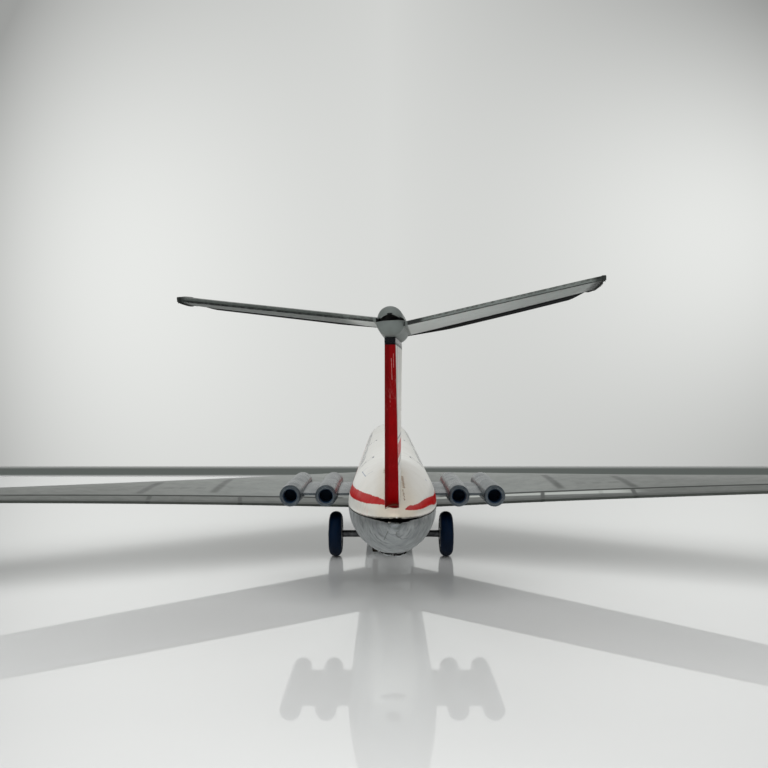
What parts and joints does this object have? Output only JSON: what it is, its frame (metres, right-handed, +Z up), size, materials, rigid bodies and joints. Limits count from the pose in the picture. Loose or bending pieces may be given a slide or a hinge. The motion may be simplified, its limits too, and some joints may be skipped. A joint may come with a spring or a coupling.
{
  "type": "friction-drive tin toy jet airliner",
  "caption": "Pressed tin toy jet airliner with a T-tail, rear engine pods, swept wings and a friction motor that turns with the main wheels.",
  "frame": {"origin": "on the floor under the middle of the toy's box", "axes": "+X towards the right wing, +Y towards the nose, +Z up"},
  "size_m": [0.4, 0.4378, 0.0999],
  "materials": {
    "white_litho": "glossy off-white lacquer on tin, with red and blue printed lines",
    "red_litho": "glossy dark red lacquer on tin, finely scratched",
    "navy_litho": "glossy navy lacquer",
    "silver_litho": "silver-grey printed tin, rubbed along the edges",
    "bare_tin": "bare bright tinplate with smudges and scratches",
    "pipe_steel": "dull grey metal, dark inside",
    "motor_steel": "plain punched steel, slightly oily",
    "axle_steel": "dark drawn wire",
    "gear_brass": "punched brass, greasy",
    "flywheel_iron": "turned and darkened",
    "hub_steel": "pressed, bright",
    "navy_rubber": "navy-black moulded rubber, slightly glossy"
  },
  "bodies": {
    "airframe": {"fuselage_upper_shell": "white_litho", "fuselage_lower_shell": "bare_tin", "tail_tab": "bare_tin", "wing_left_upper_skin": "silver_litho", "wing_left_lower_skin": "bare_tin", "wing_right_upper_skin": "silver_litho", "wing_right_lower_skin": "bare_tin", "fin_left_half": "red_litho", "fin_right_half": "white_litho", "fin_cap": "navy_litho", "tailplane_upper_skin": "silver_litho", "tailplane_lower_skin": "silver_litho", "engine_pod_left_upper": "silver_litho", "engine_pod_left_lower": "silver_litho", "engine_pod_right_upper": "silver_litho", "engine_pod_right_lower": "silver_litho", "tailpipe_left_inner": "pipe_steel", "tailpipe_left_outer": "pipe_steel", "tailpipe_right_inner": "pipe_steel", "tailpipe_right_outer": "pipe_steel", "intake_discs_left": "pipe_steel", "intake_discs_right": "pipe_steel", "motor_plate_left": "motor_steel", "motor_plate_right": "motor_steel", "motor_pillars": "motor_steel", "nose_gear_bracket": "bare_tin"},
    "main_wheels": {"main_axle": "axle_steel", "axle_gear": "gear_brass", "main_hub_left": "hub_steel", "main_hub_right": "hub_steel", "main_tyre_left": "navy_rubber", "main_tyre_right": "navy_rubber"},
    "idler": {"idler_shaft": "axle_steel", "idler_pinion": "gear_brass", "idler_gear": "gear_brass"},
    "flywheel_set": {"flywheel_shaft": "axle_steel", "flywheel_pinion": "gear_brass", "flywheel": "flywheel_iron"},
    "nose_wheels": {"nose_axle": "axle_steel", "nose_hub_left": "hub_steel", "nose_hub_right": "hub_steel", "nose_tyre_left": "navy_rubber", "nose_tyre_right": "navy_rubber"}
  },
  "joints": [
    {"name": "main_wheel_spin", "type": "hinge", "parent": "airframe", "child": "main_wheels", "pos_m": [0, -0.03308, 0.01], "axis": [1, 0, 0], "continuous": true},
    {"name": "idler_spin", "type": "hinge", "parent": "airframe", "child": "idler", "pos_m": [0, -0.02853, 0.02023], "axis": [1, 0, 0], "continuous": true},
    {"name": "flywheel_spin", "type": "hinge", "parent": "airframe", "child": "flywheel_set", "pos_m": [0, -0.02057, 0.02908], "axis": [1, 0, 0], "continuous": true},
    {"name": "nose_wheel_spin", "type": "hinge", "parent": "airframe", "child": "nose_wheels", "pos_m": [0, 0.15842, 0.008], "axis": [1, 0, 0], "continuous": true}
  ],
  "couplings": [
    {"joint": "main_wheel_spin", "follows": "flywheel_spin", "ratio": 0.18939},
    {"joint": "idler_spin", "follows": "flywheel_spin", "ratio": -0.41667}
  ]
}
